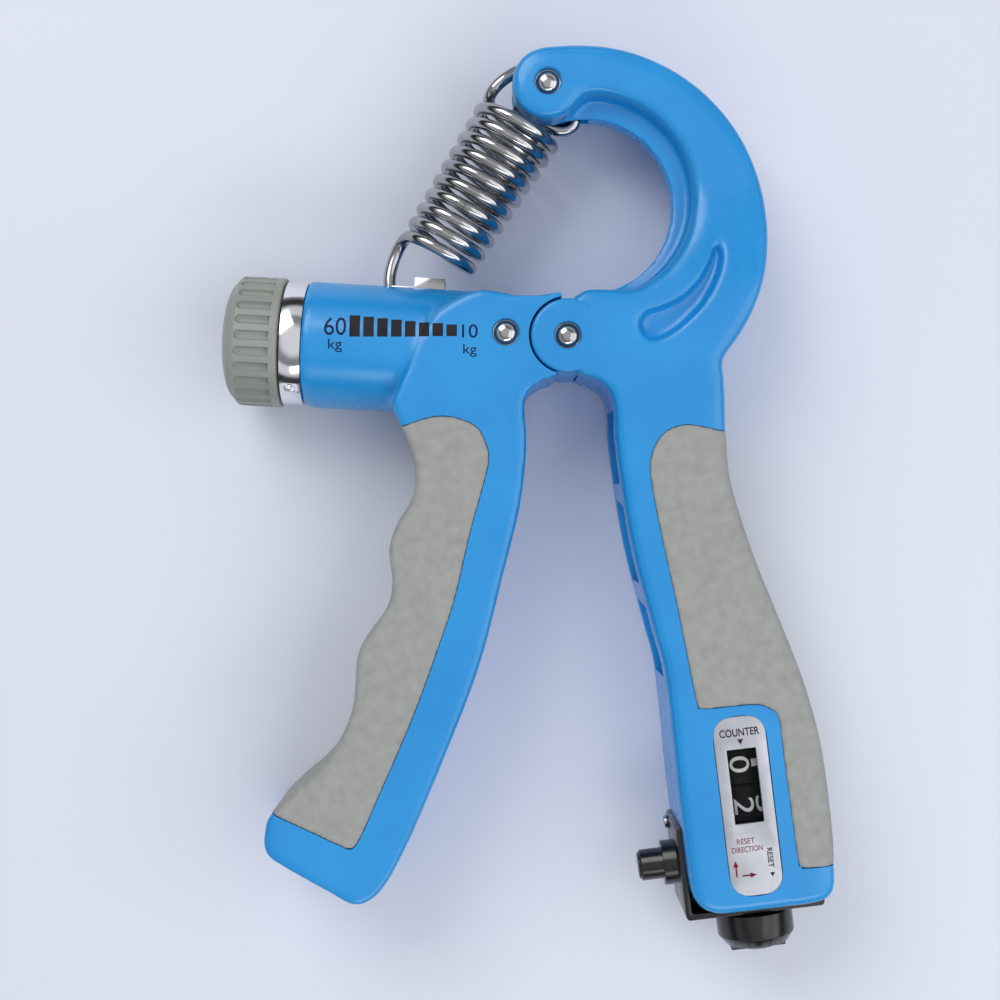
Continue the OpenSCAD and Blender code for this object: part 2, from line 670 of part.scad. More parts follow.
module reset_knob() color("black") in_counter() difference() {
    union() {
        rod_y(-24, housing_bottom - cover_t - 0.4, 0, arbor_z, reset_r);
        translate([0, -24, arbor_z]) rotate([90, 0, 0]) rotate_extrude()
            polygon([[0, -0.5], [reset_r, -0.5], [reset_r, 0], [5.6, 1.6], [3, 2.6], [0, 2.6]]);
        box([-4.8, -26.8, arbor_z - 1.3], [4.8, -23.5, arbor_z + 1.3]);
    }
    rod_y(-25.4, -18, 0, arbor_z, arbor_r);
    rod_y(-30, -25, 0, arbor_z, 0.6);
    rod_y(-30, -26.1, 0, arbor_z, 1.2);
}

module reset_screw() color("silver") in_counter() {
    rod_y(-26.7, -26.1, 0, arbor_z, 1.1);
    rod_y(-26.2, -25.45, 0, arbor_z, 0.55);
}

module count_plunger() color("black") in_counter() {
    rod_x(plunger_tip + 0.4, -11, plunger_y, mid, plunger_r);
    rod_x(plunger_tip, plunger_tip + 1, plunger_y, mid, plunger_r - 0.4);
    rod_x(-11.1, -10.4, plunger_y, mid, 3.4);
    rod_x(-11, -0.4, plunger_y, mid, 1.2);
}

// Spring-steel leaf behind the plunger's flange that pushes the ratchet
module drive_pawl() color("silver") in_counter() difference() {
    union() {
        box([-10.38, -13.4, 9.4], [-10, -5.3, 14.6]);
        box([-10.38, -6.6, 9.4], [-1.5, -5.3, 9.8]);
    }
    rod_x(-12, -9, plunger_y, mid, 1.2);
}

module plunger_spring() color("silver") in_counter()
    for (i = [0 : 6]) translate([-9.7 + 1.1 * i, plunger_y, mid]) rotate([0, 90, 0])
        rotate_extrude() translate([1.9, 0]) circle(0.25, $fn = 16);

// Leaf on the frame's back plate that holds the ratchet between steps
module detent_spring() color("silver") in_counter() {
    box([5.4, -6.5, 4.42], [8.6, -4.6, 4.8]);
    box([5.4, -6.5, 4.42], [5.8, -4.6, 12.4]);
}

right_shell();
right_grip();
left_shell();
left_grip();
pivot_rivet();
pivot_bush();
top_rivet();
anchor_rivet();
screw_bearing();
barrel_collar();
thrust_washer();
tension_screw();
tension_knob();
knob_screw();
knob_cap();
travelling_nut();
hook_pin();
spring_eye_bush();
spring_upper();
spring_middle();
spring_lower();
counter_cover();
cover_screws();
counter_frame();
label_plate();
window_lens();
units_wheel();
tens_wheel();
reset_arbor();
reset_knob();
reset_screw();
count_plunger();
drive_pawl();
plunger_spring();
detent_spring();
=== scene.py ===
# %% [markdown]
# # A hand grip strengthener, piece by piece
# Two plastic handles turn on a riveted hinge, and a coil spring pulls against them. A fluted knob at the
# end of a barrel sets the load, and a small counter in the right handle counts the squeezes. The packed
# model gives every size and every moving body. This lesson builds the shapes and finishes that are seen.

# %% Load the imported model
import math
import bmesh
import bpy
from mathutils import Matrix, Vector
from mathutils.bvhtree import BVHTree


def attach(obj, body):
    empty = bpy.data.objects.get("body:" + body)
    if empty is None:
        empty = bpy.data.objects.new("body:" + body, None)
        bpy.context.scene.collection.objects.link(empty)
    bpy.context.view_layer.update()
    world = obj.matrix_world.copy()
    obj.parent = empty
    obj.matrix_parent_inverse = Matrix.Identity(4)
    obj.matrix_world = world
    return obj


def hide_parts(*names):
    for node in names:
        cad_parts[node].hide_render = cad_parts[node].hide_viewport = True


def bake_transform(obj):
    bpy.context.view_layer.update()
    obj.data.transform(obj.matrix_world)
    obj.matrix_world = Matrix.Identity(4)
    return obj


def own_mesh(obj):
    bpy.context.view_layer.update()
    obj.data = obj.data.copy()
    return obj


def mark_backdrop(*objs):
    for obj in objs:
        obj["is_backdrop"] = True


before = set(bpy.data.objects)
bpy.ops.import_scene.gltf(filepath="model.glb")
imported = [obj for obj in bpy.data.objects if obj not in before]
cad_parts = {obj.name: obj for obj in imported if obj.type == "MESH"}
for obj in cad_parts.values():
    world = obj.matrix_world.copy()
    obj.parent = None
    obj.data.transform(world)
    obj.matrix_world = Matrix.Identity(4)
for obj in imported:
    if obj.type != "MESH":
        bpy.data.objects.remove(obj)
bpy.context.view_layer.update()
mm = 0.001
print("CAD nodes:", len(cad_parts))

# %% [markdown]
# Most pieces start as a flat outline, so the first helpers make outlines in millimetres: a smooth line
# through a few points, and an arc. The counter, the barrel and the spring lie at an angle, so each has
# a matrix of its own that places what is drawn straight.

# %% Outlines and places
def smooth_line(points, steps=6):
    """A smooth open line through the points."""
    line = []
    last = len(points) - 1
    for i in range(last):
        a, b, c, d = (Vector(points[min(max(k, 0), last)]) for k in (i - 1, i, i + 1, i + 2))
        for s in range(steps):
            t = s / steps
            line.append(0.5 * (2 * b + (c - a) * t + (2 * a - 5 * b + 4 * c - d) * t * t
                               + (3 * b - a - 3 * c + d) * t ** 3))
    return line + [Vector(points[-1])]


def arc(centre, radius, start, end, steps):
    """Points on a circle, with angles in degrees."""
    angles = [math.radians(start + (end - start) * i / steps) for i in range(steps + 1)]
    return [Vector((centre[0] + radius * math.cos(a), centre[1] + radius * math.sin(a))) for a in angles]


def ring(centre, radius, steps=96):
    return arc(centre, radius, 0, 360, steps)[:-1]


def eased(points, radius, closed=False, steps=4):
    """The same outline with its corners rounded."""
    out = []
    count = len(points)
    for i, p in enumerate(points):
        here = Vector(p)
        if not closed and i in (0, count - 1):
            out.append(here)
            continue
        back = Vector(points[i - 1]) - here
        ahead = Vector(points[(i + 1) % count]) - here
        reach = min(radius, back.length * 0.45, ahead.length * 0.45)
        a = here + back.normalized() * reach
        b = here + ahead.normalized() * reach
        out += [a.lerp(here, k / steps).lerp(here.lerp(b, k / steps), k / steps) for k in range(steps + 1)]
    return out


def gentle(t):
    t = min(max(t, 0.0), 1.0)
    return t * t * (3 - 2 * t)


def place(origin, x_axis, y_axis):
    """A matrix from millimetres drawn straight to metres in the gripper's frame."""
    x, y = Vector(x_axis), Vector(y_axis)
    turn = Matrix((x, y, x.cross(y))).transposed().to_4x4()
    return Matrix.Diagonal((mm, mm, mm, 1)) @ Matrix.Translation(origin) @ turn


thickness = 24.0
middle = thickness / 2
tilt = math.radians(6.8)
fall = math.radians(3.3)
top_pin = Vector((-3.3, 44.9))
hook_pin = Vector((-26.6, 7.6))
pull = (hook_pin - top_pin).normalized()
flat = place((0, 0, 0), (1, 0, 0), (0, 1, 0))
counter = place((31, -81.1, 0), (math.cos(tilt), math.sin(tilt), 0), (-math.sin(tilt), math.cos(tilt), 0))
barrel = place((-46.3, -0.47, middle), (math.sin(fall), math.cos(fall), 0), (0, 0, 1))
spring = place((top_pin.x, top_pin.y, middle), (pull.x, pull.y, 0), (-pull.y, pull.x, 0))
print("spring turned by", round(math.degrees(math.atan2(pull.y, pull.x)), 2), "degrees")

# %% [markdown]
# A prism is an outline extruded upwards, and a turned piece is half a section spun round an axis, as on a
# lathe. Both are drawn into a bmesh, so that several can be joined into one piece.

# %% Prisms and turned pieces
def add_prism(bm, outline, low, high, where=flat):
    start = [bm.verts.new(where @ Vector((p[0], p[1], low))) for p in outline]
    face = bm.faces.new(start)
    raised = bmesh.ops.extrude_face_region(bm, geom=[face])["geom"]
    lift = where.to_3x3() @ Vector((0, 0, high - low))
    bmesh.ops.translate(bm, verts=[v for v in raised if isinstance(v, bmesh.types.BMVert)], vec=lift)


def add_turned(bm, section, where=flat, steps=72, closed=False):
    """Spin a section of (radius, height) points round the upright axis of a place."""
    lathe = bmesh.new()
    verts = [lathe.verts.new((max(p[0], 0), 0, p[1])) for p in section]
    edges = [lathe.edges.new(pair) for pair in zip(verts, verts[1:])]
    if closed:
        edges.append(lathe.edges.new((verts[-1], verts[0])))
    bmesh.ops.spin(lathe, geom=verts + edges, cent=(0, 0, 0), axis=(0, 0, 1), angle=math.tau,
                   steps=steps, use_merge=True)
    bmesh.ops.remove_doubles(lathe, verts=lathe.verts, dist=1e-4)
    bmesh.ops.transform(lathe, matrix=where, verts=lathe.verts)
    bmesh.ops.recalc_face_normals(lathe, faces=lathe.faces)
    spun = bpy.data.meshes.new("turned")
    lathe.to_mesh(spun)
    lathe.free()
    bm.from_mesh(spun)
    bpy.data.meshes.remove(spun)


def piece(name, bm, sharp=35):
    """Turn a bmesh into an object with outward normals."""
    bmesh.ops.recalc_face_normals(bm, faces=bm.faces)
    mesh = bpy.data.meshes.new(name)
    bm.to_mesh(mesh)
    bm.free()
    made = bpy.data.objects.new(name, mesh)
    bpy.context.scene.collection.objects.link(made)
    shade(made, sharp)
    return made


def shade(made, sharp=35):
    made.data.shade_smooth()
    made.data.set_sharp_from_angle(angle=math.radians(sharp))


def turned(name, section, where=flat, steps=72, closed=False, sharp=35):
    bm = bmesh.new()
    add_turned(bm, section, where, steps, closed)
    return piece(name, bm, sharp)


def prism(name, outline, low, high, where=flat):
    bm = bmesh.new()
    add_prism(bm, outline, low, high, where)
    return piece(name, bm)

# %% [markdown]
# The handles are moulded: broad roundings first, then crisp holes. So a rough solid is given an even skin
# by a voxel remesh and relaxed until its edges are as round as the mould's, and the holes are cut last.
# The relaxing can be weaker where the mould is crisper.

# %% Soften, swell and cut
def settle(made):
    """Apply a piece's modifiers."""
    view = bpy.context.evaluated_depsgraph_get()
    mesh = bpy.data.meshes.new_from_object(made.evaluated_get(view))
    made.modifiers.clear()
    made.data = mesh


def even_skin(made, voxel):
    modifier = made.modifiers.new("even skin", "REMESH")
    modifier.mode = "VOXEL"
    modifier.voxel_size = voxel * mm
    settle(made)


def relax(made, rounds, share=None):
    """Smooth a skin; share(x, y) in millimetres says how strongly, from 0 to 1."""
    modifier = made.modifiers.new("relax", "SMOOTH")
    modifier.factor = 0.5
    modifier.iterations = rounds
    if share:
        group = made.vertex_groups.new(name="softness")
        levels = {}
        for v in made.data.vertices:
            levels.setdefault(round(share(v.co.x / mm, v.co.y / mm), 2), []).append(v.index)
        for level, members in levels.items():
            group.add(members, level, "REPLACE")
        modifier.vertex_group = group.name
    settle(made)
    made.vertex_groups.clear()


def swell(made, by):
    """Move a skin outwards along its normals, or inwards with a minus sign."""
    modifier = made.modifiers.new("swell", "DISPLACE")
    modifier.strength = by * mm
    modifier.mid_level = 0
    settle(made)


def copy_of(made, name):
    other = bpy.data.objects.new(name, made.data.copy())
    bpy.context.scene.collection.objects.link(other)
    return other


def cut(made, tool, how="DIFFERENCE", keep_tool=False):
    """Cut a tool out of a piece, or join or keep what they share."""
    modifier = made.modifiers.new("cut", "BOOLEAN")
    modifier.operation = how
    modifier.solver = "MANIFOLD"
    modifier.object = tool
    before = len(made.data.vertices)
    settle(made)
    print(" ", how.lower(), tool.name, "on", made.name, before, "->", len(made.data.vertices), "points")
    if not keep_tool:
        bpy.data.objects.remove(tool)


def volume(made):
    bm = bmesh.new()
    bm.from_mesh(made.data)
    size = bm.calc_volume() / mm ** 3
    bm.free()
    return round(size)

# %% [markdown]
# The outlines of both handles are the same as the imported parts': a few points down each edge. The right
# one runs from the hinge block down to the counter's housing, whose corners are square to the counter.

# %% Outlines of the handles
def in_counter(x, y):
    spot = counter @ Vector((x, y, 0)) / mm
    return Vector((spot.x, spot.y))


right_inner = [(1.4, -6.6), (4.4, -7.4), (7, -9.2), (8.2, -12.6), (8.3, -18), (10.9, -35.4), (15, -51.5),
               (17, -59.5), (19.1, -79.4)]
right_outer = [(26.7, -4.4), (27.2, -8), (27.4, -13), (27.7, -22), (28.9, -27.8), (32.3, -38.2),
               (36.6, -48.8), (40.6, -59), (43.4, -68.5), (44.9, -77), (46, -87)]
housing_foot = [(13.9, -12), (13.6, -16.2), (12.2, -18), (9.4, -18.5), (-6.6, -18.5), (-9.6, -17.6),
                (-11.2, -15.2), (-11.5, -11)]
right_plan = (smooth_line(right_outer) + [in_counter(*p) for p in housing_foot]
              + smooth_line(right_inner)[::-1]
              + [Vector(p) for p in ((0, 0), (1, 5.6), (2.1, 7.4), (3.5, 8.1), (12, 8), (26, -2))])

left_inner = [(-2.0, -7.1), (-4.8, -8.1), (-7.4, -11), (-7.1, -19), (-8.2, -29.3), (-11.2, -41.6),
              (-15.2, -57), (-20.9, -72), (-27, -86.5), (-30.8, -94)]
left_bottom = [(-33, -97), (-36.6, -98.6), (-41, -96.4), (-50.8, -90.8), (-52.5, -88.4), (-52.2, -84)]
left_outer = [(-51, -82.3), (-47.4, -78.9), (-43.2, -75.3), (-39.6, -70.4), (-37.2, -64.8), (-36.6, -59),
              (-36.1, -54.6), (-33.6, -50.4), (-31.2, -47.2), (-30.2, -43), (-30.7, -39), (-30.8, -36.4),
              (-29.4, -32.4), (-27, -28.6), (-26.2, -24.6), (-27, -19.8), (-28.9, -15.6), (-30.6, -12)]
left_top = [(-23, 4), (-19, 6.6), (-15.5, 7.9), (-12, 7.6), (-8.5, 6.9), (-4.5, 7), (-1.1, 7.6)]
left_plan = (smooth_line(left_inner) + smooth_line(left_bottom) + smooth_line(left_outer)
             + smooth_line(left_top) + [Vector((0, 0))])

left_grip_edge = [(-28.4, -15.6), (-24, -14.2), (-20.3, -14), (-16, -15.6), (-14.1, -18.6), (-13.6, -21.8),
                  (-15, -27.6), (-16.9, -34.5), (-19.3, -44.8), (-21.6, -52), (-26.5, -65.5),
                  (-32.4, -79.2), (-35.6, -86.4), (-37.3, -88.6), (-39.4, -88), (-44.1, -85.8), (-52, -82.2)]
left_grip_plan = smooth_line(left_grip_edge) + [Vector((-60, -82)), Vector((-60, -15.6))]
right_grip_edge = [(32, -17), (26.5, -16.4), (20.3, -15.4), (16.2, -17.2), (14.2, -21.5), (14.6, -27),
                   (16.6, -37), (18.8, -47), (21.4, -60)]
right_grip_foot = [(-6.6, 17.6), (-4, 17.3), (3.2, 17.1), (5.8, 16), (7, 14.2), (7.1, 7.3), (7.4, -9.6),
                   (7.8, -11.4), (9.2, -12), (19, -12.1)]
right_grip_plan = (smooth_line(right_grip_edge) + [in_counter(*p) for p in smooth_line(right_grip_foot)]
                   + [Vector((60, -80)), Vector((60, -17))])
groove_edge = [(26.6, 19.2), (25.0, 13.9), (23.2, 10.3), (20.2, 6.9), (16.4, 4.9), (13.4, 4), (12.4, 1.8),
               (13.6, -0.5), (16.4, -0.4), (20.6, 2.5), (23.4, 5.5), (25.5, 9.2), (26.8, 13.4)]
groove_line = [Vector(p) for p in ((14.5, 1.8), (18.4, 3.4), (21.8, 6.3), (24.4, 10), (25.9, 14), (26.6, 18))]
print("points round the right handle:", len(right_plan), "and the left one:", len(left_plan))

# %% [markdown]
# The C-shaped arm lies between two circles that don't share a centre, so it is thin at the tip and broad
# at the back. Its thick part stops short of the hand gap, and a thinner flange runs on to the inner
# circle. The whole arm is thinner than the block, so its height is squeezed towards the tip.

# %% The right handle's soft body
arm_out, arm_out_r = (2.0, 18.4), 33.3
arm_in, arm_in_r = (3.4, 23.9), 15.7
ledge_in, ledge_in_r = (3.9, 24.7), 18.3
tip_r = 6.5


def arm_height(y):
    """Share of the full thickness that the arm keeps at a height y up the plan."""
    return 1 - (1 - 16 / 24) * gentle((y - 3) / 25)


def squeeze(made):
    for v in made.data.vertices:
        v.co.z = (middle + (v.co.z / mm - middle) * arm_height(v.co.y / mm)) * mm


def right_softness(x, y):
    hinge = 0.05 + 0.4 * gentle((math.hypot(x, y) - 7) / 12)
    arm = gentle((y - 6) / 14) * gentle((math.hypot(x, y) - 9) / 9)
    return min(1, hinge + 0.55 * arm)


def groove_softness(x, y):
    return 1 - gentle((min((Vector((x, y)) - p).length for p in groove_line) - 3.6) / 2)


bm = bmesh.new()
add_prism(bm, arc(arm_out, arm_out_r, 99, -44, 80) + arc(ledge_in, ledge_in_r, -104, 118, 60), 0, thickness)
add_prism(bm, ring(top_pin, tip_r), 0, thickness)
add_prism(bm, right_plan, 0, thickness)
right_shell = piece("right_shell_moulding", bm)
even_skin(right_shell, 0.55)
relax(right_shell, 90, right_softness)
bm = bmesh.new()
add_prism(bm, arc(arm_out, arm_out_r - 4, 97, -40, 80) + arc(arm_in, arm_in_r, -84, 112, 60), 8.6, 15.4)
flange = piece("flange", bm)
groove = prism("groove", smooth_line(groove_edge + groove_edge[:1], 4)[:-1], thickness - 2.5, thickness + 6)
cut(right_shell, flange, "UNION")
cut(right_shell, groove)
even_skin(right_shell, 0.52)
relax(right_shell, 7)
relax(right_shell, 13, groove_softness)
squeeze(right_shell)
print("right body", volume(right_shell), "mm3")

# %% [markdown]
# The left handle's body is the block and handle with the round barrel laid across it. The barrel's own
# edges stay fairly crisp, and the finger grooves are rounder.

# %% The left handle's soft body
barrel_r = 11.3


def left_softness(x, y):
    hinge = 0.05 + 0.4 * gentle((math.hypot(x, y) - 7) / 12)
    on_barrel = gentle((-x - 22) / 12) * gentle((y + 12) / 4)
    return max(0.02, hinge * (1 - 0.9 * on_barrel))


bm = bmesh.new()
add_prism(bm, left_plan, 0, thickness)
add_turned(bm, eased([(0, 0), (barrel_r, 0), (barrel_r, 34), (0, 34)], 0.9), barrel, 128)
left_shell = piece("left_shell_moulding", bm)
even_skin(left_shell, 0.52)
relax(left_shell, 70, left_softness)
print("left body", volume(left_shell), "mm3")

# %% [markdown]
# The soft grips are a rubber skin moulded over a core. The core is the body drawn in by the skin's
# thickness, so skin and shell share one surface and meet at a crisp line. The skin is softened a little
# on its own, which leaves a fine groove where the two materials meet.

# %% Soft grips
skin = 1.6


def split_grip(shell, plan, name):
    zone = prism("zone", plan, -1, thickness + 1)
    core = copy_of(shell, "core")
    swell(core, -skin)
    grip = copy_of(shell, name)
    swell(grip, 0.1)
    cut(grip, zone, "INTERSECT", keep_tool=True)
    cut(grip, core, keep_tool=True)
    cut(zone, core)
    cut(shell, zone)
    even_skin(grip, 0.46)
    relax(grip, 5)
    shade(grip, 60)
    print(name, volume(grip), "mm3")
    return grip


right_grip = split_grip(right_shell, right_grip_plan, "right_grip_skin")
left_grip = split_grip(left_shell, left_grip_plan, "left_grip_skin")

# %% [markdown]
# Now the crisp work on the right handle. Two ears with room between them for the left handle's tongue,
# sunken seats for the rivets, the slot for the spring's loop, the open channel down the inner edge with
# its ribs, and the counter's cavity, window and label recess.

# %% Cutters that several pieces share
def add_box(bm, low, high, where=flat):
    corners = [(low[0], low[1]), (high[0], low[1]), (high[0], high[1]), (low[0], high[1])]
    add_prism(bm, corners, low[2], high[2], where)


def at(x, y):
    return flat @ Matrix.Translation((x, y, 0))


def seat_section(face, way, depth=1.3):
    """Half section of a rivet's seat that opens at a face, with a flared mouth."""
    points = [(0, -depth), (2.3, -depth), (2.3, -0.25), (2.6, 0.12), (2.9, 3), (0, 3)]
    return [(r, face + way * z) for r, z in points]


def add_seats(bm, spot, low, high):
    add_turned(bm, seat_section(high, 1), at(*spot), 64)
    add_turned(bm, seat_section(low, -1), at(*spot), 64)


def cut_all(made, build):
    """Cut with everything that build draws; what it draws may not overlap itself."""
    bm = bmesh.new()
    build(bm)
    cut(made, piece("tool", bm))


def channel_outline(inner, outwards, drop, lift, depth):
    edge = smooth_line(inner[3:-1])
    near = [p + Vector((-outwards * 3, drop)) for p in edge]
    far = [p + Vector((outwards * depth, lift)) for p in edge]
    return near + far[::-1]


def cut_channel(made, outline, ribs, turn, rib_t=1.4):
    """Cut an open channel and leave ribs standing across it."""
    tool = prism("channel", outline, 5, 19)
    bm = bmesh.new()
    for x, y in ribs:
        here = flat @ Matrix.Translation((x, y, 0)) @ Matrix.Rotation(math.radians(turn), 4, "Z")
        add_box(bm, (-12, -rib_t / 2, 0), (24, rib_t / 2, thickness), here)
    cut(tool, piece("ribs", bm))
    cut(made, tool)


# %% Crisp work on the right handle
ear_r, tongue_r, ear_t, gap = 6.4, 6.6, 5.9, 0.35
bm = bmesh.new()
add_turned(bm, eased([(0, 0), (ear_r, 0), (ear_r, thickness), (0, thickness)], 0.7), flat, 96)
cut(right_shell, piece("ears", bm), "UNION")
cut_all(right_shell, lambda bm: add_turned(
    bm, [(0, ear_t), (tongue_r + gap, ear_t), (tongue_r + gap, thickness - ear_t), (0, thickness - ear_t)],
    flat, 96))
cut_all(right_shell, lambda bm: add_seats(bm, (0, 0), 0, thickness))
cut_all(right_shell, lambda bm: add_seats(bm, top_pin, 4.1, 19.9))
loop_spot = top_pin + pull * 4.45
cut_all(right_shell, lambda bm: add_prism(bm, ring(loop_spot, 9.9), middle - 1.5, middle + 1.5))
cut_all(right_shell, lambda bm: add_box(bm, (4.9, -8, -14), (20, 8, -3.4), spring))
cut_channel(right_shell, channel_outline(right_inner, 1, 0.5, -1.5, 8), [(10, -27.6), (12.6, -44), (16, -60)],
            -52)


def plate_outline(grow):
    half_w, half_l = 9.1 / 2 + grow, 31 / 2 + grow
    return eased([(-half_w, -half_l), (half_w, -half_l), (half_w, half_l), (-half_w, half_l)], 4.2, True, 8)


cut_all(right_shell, lambda bm: add_box(bm, (-9.4, -19, 2.5), (9, 12.6, 21.4), counter))
cut_all(right_shell, lambda bm: add_box(bm, (-14.5, -14.8, 7.4), (-8.4, -4.9, 16.6), counter))
cut_all(right_shell, lambda bm: add_box(bm, (-3.2, -3.6, 20.4), (3.2, 10.4, thickness), counter))
cut_all(right_shell, lambda bm: add_prism(bm, plate_outline(0.12), thickness - 0.9, thickness + 2, counter))
shade(right_shell, 32)
print("right shell", volume(right_shell), "mm3")

# %% [markdown]
# The left handle keeps only the middle third of its hinge end, a round tongue that turns between the
# ears. The barrel is bored out for the travelling nut and slotted along its top for the spring's hook.

# %% Crisp work on the left handle
def hinge_room(bm):
    for low, high in ((-1, ear_t + gap), (thickness - ear_t - gap, thickness + 1)):
        add_turned(bm, [(0, low), (ear_r + gap, low), (ear_r + gap, high), (0, high)], flat, 96)


cut_all(left_shell, hinge_room)
bm = bmesh.new()
low, high = ear_t + gap, thickness - ear_t - gap
add_turned(bm, eased([(0, low), (tongue_r, low), (tongue_r, high), (0, high)], 0.4), flat, 96)
cut(left_shell, piece("tongue", bm), "UNION")
anchor = (-10.7, 0.5)
cut_all(left_shell, lambda bm: add_turned(bm, [(0, -1), (2.3, -1), (2.3, 30), (0, 30)], flat, 64))
cut_all(left_shell, lambda bm: add_seats(bm, anchor, 0, thickness))
cut_all(left_shell, lambda bm: add_turned(bm, [(0, -3), (8, -3), (8, 31), (5.5, 31), (5.5, 38.4), (0, 38.4)],
                                          barrel, 96))
cut_all(left_shell, lambda bm: add_box(bm, (4, -2.5, 1.6), (16, 2.5, 30.5), barrel))
cut_channel(left_shell, channel_outline(left_inner, -1, -0.5, 2, 8),
            [(-8, -22), (-9.4, -33), (-12, -44), (-15, -55), (-18.6, -66), (-23.6, -77.4)], 60)
shade(left_shell, 32)
print("left shell", volume(left_shell), "mm3")

# %% [markdown]
# Small CAD parts already have the right shape but knife-sharp edges, which never catch the light. A copy
# of each is cleaned and its edges are bevelled, and the copy stands for the CAD node.

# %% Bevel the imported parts
def refined(node, body, slot, edge):
    bm = bmesh.new()
    bm.from_mesh(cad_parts[node].data)
    bmesh.ops.remove_doubles(bm, verts=bm.verts, dist=3e-6)
    bmesh.ops.dissolve_limit(bm, angle_limit=math.radians(1.5), verts=bm.verts, edges=bm.edges)
    sharp = [e for e in bm.edges if len(e.link_faces) == 2 and e.calc_face_angle(0) > math.radians(35)]
    bmesh.ops.bevel(bm, geom=sharp, offset=edge * mm, offset_type="OFFSET", segments=2, profile=0.5,
                    affect="EDGES", clamp_overlap=True, material=-1)
    made = piece(node + "_finished", bm, 40)
    return fitted(made, body, slot, node)


def fitted(made, body, slot, *nodes):
    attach(made, body)
    if nodes:
        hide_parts(*nodes)
    return made


fitted(right_shell, "right_handle", "blue_plastic", "right_shell")
fitted(left_shell, "left_handle", "blue_plastic", "left_shell")
fitted(right_grip, "right_handle", "grey_rubber", "right_grip")
fitted(left_grip, "left_handle", "grey_rubber", "left_grip")
collar = refined("barrel_collar", "left_handle", "chrome", 0.3)
nut = refined("travelling_nut", "tension_nut", "steel", 0.2)
cover = refined("counter_cover", "right_handle", "black_plastic", 0.3)
plate = refined("label_plate", "right_handle", "label_silver", 0.12)
plunger = refined("count_plunger", "plunger", "black_plastic", 0.35)
units = refined("units_wheel", "units_wheel", "wheel_black", 0.12)
tens = refined("tens_wheel", "tens_wheel", "wheel_black", 0.12)

# %% [markdown]
# Each rivet is a pressed steel pin with a low polished dome at both ends, sitting in a thin cup washer.
# One section is spun for each rivet, with the top dome and the bottom one in the same piece.

# %% Rivets
def rivet(name, node, body, spot, low, high):
    dome = [(1.98 * math.sin(a), 1.15 * math.cos(a)) for a in [math.radians(6 * k) for k in range(16)]]
    rim = [(1.98, -0.14), (2.03, -0.24), (2.1, -0.12), (2.18, -0.1), (2.24, -0.2), (2.24, -0.34)]
    half = [(r, z) for r, z in dome + rim]
    top = [(r, high - 0.95 + z) for r, z in half] + [(1.5, high - 1.29)]
    foot = [(r, low + 0.95 - z) for r, z in half] + [(1.5, low + 1.29)]
    made = turned(name, top + foot[::-1], at(*spot), 72)
    return fitted(made, body, "chrome", node)


rivets = [rivet("hinge_rivet", "pivot_rivet", "right_handle", (0, 0), 0, thickness),
          rivet("arm_rivet", "top_rivet", "right_handle", top_pin, 4.1, 19.9),
          rivet("barrel_rivet", "anchor_rivet", "left_handle", anchor, 0, thickness)]
print("rivets:", len(rivets))

# %% [markdown]
# The knob is a moulded grey wheel. Its flutes are closed by a plain rim at one end and rounded at the
# other, so they are cut with round-ended bars set in a circle. A shallow dome closes the outer end.

# %% Load knob
knob_r, knob_from, knob_to, flutes = 11.55, -12.6, -4.0, 26
knob = turned("load_knob", eased([(2.55, knob_from), (10.5, knob_from), (knob_r, knob_from + 1.0),
                                  (knob_r, knob_to), (2.55, knob_to)], 0.45, True), barrel, 156, True)


def flute_bars(bm):
    bar = [(0, -2.9)] + [(0.86 * math.cos(math.radians(a)), -2.1 + 0.86 * math.sin(math.radians(a)))
                         for a in range(-75, 1, 15)] + [(0.86, 3.1), (0, 3.1)]
    for k in range(flutes):
        turn = barrel @ Matrix.Rotation(math.tau * (k + 0.5) / flutes, 4, "Z")
        add_turned(bm, bar, turn @ Matrix.Translation((knob_r + 0.08, 0, knob_from + 4.1)), 16)


cut_all(knob, flute_bars)
shade(knob, 30)
fitted(knob, "tension_knob", "grey_plastic", "tension_knob")
dome = [(10.45 * math.cos(math.radians(a)), knob_from + 0.3 - 2.5 * math.sin(math.radians(a)))
        for a in range(0, 91, 6)]
seat = [(0, knob_from + 1.2), (5, knob_from + 1.2), (5, knob_from + 0.4)]
knob_dome = turned("load_knob_dome", seat + dome,
                   barrel, 128)
fitted(knob_dome, "tension_knob", "grey_plastic", "knob_cap")
print("knob", volume(knob), "mm3")

# %% [markdown]
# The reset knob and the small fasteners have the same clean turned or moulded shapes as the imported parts,
# so they only need their edges broken.

# %% Small fasteners and the reset knob
reset_knob = refined("reset_knob", "reset_shaft", "black_plastic", 0.25)
screws = refined("cover_screws", "right_handle", "steel", 0.1)
thrust = refined("thrust_washer", "tension_knob", "steel", 0.1)
knob_screw = refined("knob_screw", "tension_knob", "steel", 0.1)
print("small parts:", reset_knob.name, screws.name, thrust.name, knob_screw.name)

# %% [markdown]
# The load spring is one long wire. Its top end wraps the arm's rivet, the coils narrow a little on the way
# down, and its last turn opens into a loop round the nut's hook. It is swept along its centre line as two
# lengths.

# %% Load spring
pin_span, wire_r, loop_r, lower_turn, blend_turn = 43.979, 1.1, 7.8, 3240, 50
coil_top_r, coil_low_r, coil_from, coil_pitch, coil_shift = 7.3, 6.4, 7.9, 2.92, -1.2
loop_high = 4.45
loop_low = pin_span - (loop_r - wire_r - 1.7 - 0.05)


def coil_spot(a):
    r = coil_top_r + (coil_low_r - coil_top_r) * min(max(a / lower_turn, 0), 1)
    turn = math.radians(a)
    return Vector((coil_from + coil_pitch * a / 360, r * math.cos(turn) + coil_shift, r * math.sin(turn)))


